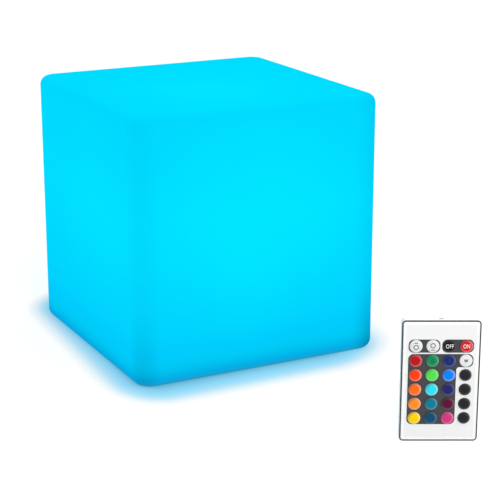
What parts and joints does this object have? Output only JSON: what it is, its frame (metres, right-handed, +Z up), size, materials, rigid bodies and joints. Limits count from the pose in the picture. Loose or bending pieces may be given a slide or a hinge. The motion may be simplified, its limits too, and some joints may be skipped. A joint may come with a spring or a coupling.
{
  "type": "led cube light",
  "caption": "Glowing rounded cube lamp with a sealed round base, rechargeable cell and LED module inside, and a flat multi-colour key remote standing in front.",
  "frame": {"origin": "centre of the cube's footprint, on the surface that the cube stands on", "axes": "+Z up; the cube's front face looks along -Y, and the remote stands in front of it"},
  "size_m": [0.2, 0.3833, 0.2],
  "materials": {
    "glowing_polyethylene": "satin, translucent, lit from inside",
    "insert_brass": "machined",
    "seal_silicone": "matt",
    "base_abs": "fine moulded texture",
    "screw_steel": "zinc plated",
    "housing_abs": "moulded",
    "board_white": "white solder mask",
    "board_green": "green solder mask",
    "led_resin": "clear resin over a white cup",
    "receiver_black": "dark infrared-passing epoxy",
    "cover_frosted": "frosted polycarbonate",
    "cell_wrap": "shrink wrap",
    "holder_black": "moulded",
    "contact_nickel": "nickel plated",
    "lead_red": "pvc insulation",
    "lead_white": "pvc insulation",
    "component_black": "moulded epoxy",
    "switch_black": "moulded",
    "button_rubber": "moulded silicone",
    "jack_black": "moulded",
    "port_cover_rubber": "moulded silicone",
    "indicator_acrylic": "milky acrylic",
    "remote_rim_dark": "fine moulded texture",
    "remote_case_white": "fine moulded texture",
    "remote_front_white": "smooth moulded",
    "remote_label_film": "printed polyester film",
    "remote_panel_ink": "printed",
    "keypad_silicone": "moulded",
    "coin_steel": "turned",
    "infrared_led_epoxy": "clear epoxy",
    "key_light_plastic": "smooth moulded",
    "key_off_plastic": "smooth moulded",
    "key_on_plastic": "smooth moulded",
    "key_red_plastic": "smooth moulded",
    "key_green_plastic": "smooth moulded",
    "key_blue_plastic": "smooth moulded",
    "key_white_plastic": "smooth moulded",
    "key_vermilion_plastic": "smooth moulded",
    "key_light_green_plastic": "smooth moulded",
    "key_sky_blue_plastic": "smooth moulded",
    "key_dark_plastic": "smooth moulded",
    "key_orange_plastic": "smooth moulded",
    "key_cyan_plastic": "smooth moulded",
    "key_indigo_plastic": "smooth moulded",
    "key_amber_plastic": "smooth moulded",
    "key_teal_plastic": "smooth moulded",
    "key_maroon_plastic": "smooth moulded",
    "key_yellow_plastic": "smooth moulded",
    "key_deep_teal_plastic": "smooth moulded",
    "key_pink_plastic": "smooth moulded"
  },
  "bodies": {
    "cube": {"diffuser_shell": "glowing_polyethylene", "shell_inserts": "insert_brass", "base_gasket": "seal_silicone", "base_plate": "base_abs", "base_screws": "screw_steel", "electronics_housing": "housing_abs", "housing_screws": "screw_steel", "led_board": "board_white", "led_packages": "led_resin", "infrared_receiver": "receiver_black", "led_cover": "cover_frosted", "led_cover_seal": "seal_silicone", "battery_cell": "cell_wrap", "battery_holder": "holder_black", "battery_contacts": "contact_nickel", "battery_leads": "lead_red", "led_leads": "lead_white", "control_board": "board_green", "control_board_components": "component_black", "power_switch": "switch_black", "charging_jack": "jack_black", "charge_indicator": "indicator_acrylic"},
    "power_button": {"power_button": "button_rubber"},
    "charging_port_cover": {"charging_port_cover": "port_cover_rubber"},
    "remote": {"remote_back_case": "remote_case_white", "remote_rim": "remote_rim_dark", "remote_front_case": "remote_front_white", "remote_face_label": "remote_label_film", "remote_label_panels": "remote_panel_ink", "remote_keypad_mat": "keypad_silicone", "remote_circuit_board": "board_green", "remote_controller": "component_black", "remote_infrared_led": "infrared_led_epoxy", "remote_battery_contacts": "contact_nickel"},
    "battery_tray": {"remote_battery_tray": "remote_case_white", "remote_coin_cell": "coin_steel"},
    "key_brighter": {"key_brighter": "key_light_plastic"},
    "key_dimmer": {"key_dimmer": "key_light_plastic"},
    "key_off": {"key_off": "key_off_plastic"},
    "key_on": {"key_on": "key_on_plastic"},
    "key_red": {"key_red": "key_red_plastic"},
    "key_green": {"key_green": "key_green_plastic"},
    "key_blue": {"key_blue": "key_blue_plastic"},
    "key_white": {"key_white": "key_white_plastic"},
    "key_vermilion": {"key_vermilion": "key_vermilion_plastic"},
    "key_light_green": {"key_light_green": "key_light_green_plastic"},
    "key_sky_blue": {"key_sky_blue": "key_sky_blue_plastic"},
    "key_flash": {"key_flash": "key_dark_plastic"},
    "key_orange": {"key_orange": "key_orange_plastic"},
    "key_cyan": {"key_cyan": "key_cyan_plastic"},
    "key_indigo": {"key_indigo": "key_indigo_plastic"},
    "key_strobe": {"key_strobe": "key_dark_plastic"},
    "key_amber": {"key_amber": "key_amber_plastic"},
    "key_teal": {"key_teal": "key_teal_plastic"},
    "key_maroon": {"key_maroon": "key_maroon_plastic"},
    "key_fade": {"key_fade": "key_dark_plastic"},
    "key_yellow": {"key_yellow": "key_yellow_plastic"},
    "key_deep_teal": {"key_deep_teal": "key_deep_teal_plastic"},
    "key_pink": {"key_pink": "key_pink_plastic"},
    "key_smooth": {"key_smooth": "key_dark_plastic"}
  },
  "joints": [
    {"name": "power_button_press", "type": "slide", "parent": "cube", "child": "power_button", "axis": [0, 0, 1], "range_m": [0, 0.0012], "stiffness_N_per_m": 1500, "springref_m": -0.001},
    {"name": "charging_port_cover_swing", "type": "hinge", "parent": "cube", "child": "charging_port_cover", "pos_m": [-0.02, 0.024, 0.0032], "axis": [0, 1, 0], "range_deg": [0, 95]},
    {"name": "handset_lift", "type": "slide", "parent": "cube", "child": "remote", "axis": [0, 0, 1], "range_m": [0, 0.12]},
    {"name": "tray_pull", "type": "slide", "parent": "remote", "child": "battery_tray", "axis": [0, 0, -1], "range_m": [0, 0.03]},
    {"name": "key_brighter_press", "type": "slide", "parent": "remote", "child": "key_brighter", "axis": [0.4571, 0.8894, 0], "range_m": [0, 0.0008], "stiffness_N_per_m": 1200, "springref_m": -0.0003},
    {"name": "key_dimmer_press", "type": "slide", "parent": "remote", "child": "key_dimmer", "axis": [0.4571, 0.8894, 0], "range_m": [0, 0.0008], "stiffness_N_per_m": 1200, "springref_m": -0.0003},
    {"name": "key_off_press", "type": "slide", "parent": "remote", "child": "key_off", "axis": [0.4571, 0.8894, 0], "range_m": [0, 0.0008], "stiffness_N_per_m": 1200, "springref_m": -0.0003},
    {"name": "key_on_press", "type": "slide", "parent": "remote", "child": "key_on", "axis": [0.4571, 0.8894, 0], "range_m": [0, 0.0008], "stiffness_N_per_m": 1200, "springref_m": -0.0003},
    {"name": "key_red_press", "type": "slide", "parent": "remote", "child": "key_red", "axis": [0.4571, 0.8894, 0], "range_m": [0, 0.0008], "stiffness_N_per_m": 1200, "springref_m": -0.0003},
    {"name": "key_green_press", "type": "slide", "parent": "remote", "child": "key_green", "axis": [0.4571, 0.8894, 0], "range_m": [0, 0.0008], "stiffness_N_per_m": 1200, "springref_m": -0.0003},
    {"name": "key_blue_press", "type": "slide", "parent": "remote", "child": "key_blue", "axis": [0.4571, 0.8894, 0], "range_m": [0, 0.0008], "stiffness_N_per_m": 1200, "springref_m": -0.0003},
    {"name": "key_white_press", "type": "slide", "parent": "remote", "child": "key_white", "axis": [0.4571, 0.8894, 0], "range_m": [0, 0.0008], "stiffness_N_per_m": 1200, "springref_m": -0.0003},
    {"name": "key_vermilion_press", "type": "slide", "parent": "remote", "child": "key_vermilion", "axis": [0.4571, 0.8894, 0], "range_m": [0, 0.0008], "stiffness_N_per_m": 1200, "springref_m": -0.0003},
    {"name": "key_light_green_press", "type": "slide", "parent": "remote", "child": "key_light_green", "axis": [0.4571, 0.8894, 0], "range_m": [0, 0.0008], "stiffness_N_per_m": 1200, "springref_m": -0.0003},
    {"name": "key_sky_blue_press", "type": "slide", "parent": "remote", "child": "key_sky_blue", "axis": [0.4571, 0.8894, 0], "range_m": [0, 0.0008], "stiffness_N_per_m": 1200, "springref_m": -0.0003},
    {"name": "key_flash_press", "type": "slide", "parent": "remote", "child": "key_flash", "axis": [0.4571, 0.8894, 0], "range_m": [0, 0.0008], "stiffness_N_per_m": 1200, "springref_m": -0.0003},
    {"name": "key_orange_press", "type": "slide", "parent": "remote", "child": "key_orange", "axis": [0.4571, 0.8894, 0], "range_m": [0, 0.0008], "stiffness_N_per_m": 1200, "springref_m": -0.0003},
    {"name": "key_cyan_press", "type": "slide", "parent": "remote", "child": "key_cyan", "axis": [0.4571, 0.8894, 0], "range_m": [0, 0.0008], "stiffness_N_per_m": 1200, "springref_m": -0.0003},
    {"name": "key_indigo_press", "type": "slide", "parent": "remote", "child": "key_indigo", "axis": [0.4571, 0.8894, 0], "range_m": [0, 0.0008], "stiffness_N_per_m": 1200, "springref_m": -0.0003},
    {"name": "key_strobe_press", "type": "slide", "parent": "remote", "child": "key_strobe", "axis": [0.4571, 0.8894, 0], "range_m": [0, 0.0008], "stiffness_N_per_m": 1200, "springref_m": -0.0003},
    {"name": "key_amber_press", "type": "slide", "parent": "remote", "child": "key_amber", "axis": [0.4571, 0.8894, 0], "range_m": [0, 0.0008], "stiffness_N_per_m": 1200, "springref_m": -0.0003},
    {"name": "key_teal_press", "type": "slide", "parent": "remote", "child": "key_teal", "axis": [0.4571, 0.8894, 0], "range_m": [0, 0.0008], "stiffness_N_per_m": 1200, "springref_m": -0.0003},
    {"name": "key_maroon_press", "type": "slide", "parent": "remote", "child": "key_maroon", "axis": [0.4571, 0.8894, 0], "range_m": [0, 0.0008], "stiffness_N_per_m": 1200, "springref_m": -0.0003},
    {"name": "key_fade_press", "type": "slide", "parent": "remote", "child": "key_fade", "axis": [0.4571, 0.8894, 0], "range_m": [0, 0.0008], "stiffness_N_per_m": 1200, "springref_m": -0.0003},
    {"name": "key_yellow_press", "type": "slide", "parent": "remote", "child": "key_yellow", "axis": [0.4571, 0.8894, 0], "range_m": [0, 0.0008], "stiffness_N_per_m": 1200, "springref_m": -0.0003},
    {"name": "key_deep_teal_press", "type": "slide", "parent": "remote", "child": "key_deep_teal", "axis": [0.4571, 0.8894, 0], "range_m": [0, 0.0008], "stiffness_N_per_m": 1200, "springref_m": -0.0003},
    {"name": "key_pink_press", "type": "slide", "parent": "remote", "child": "key_pink", "axis": [0.4571, 0.8894, 0], "range_m": [0, 0.0008], "stiffness_N_per_m": 1200, "springref_m": -0.0003},
    {"name": "key_smooth_press", "type": "slide", "parent": "remote", "child": "key_smooth", "axis": [0.4571, 0.8894, 0], "range_m": [0, 0.0008], "stiffness_N_per_m": 1200, "springref_m": -0.0003}
  ]
}
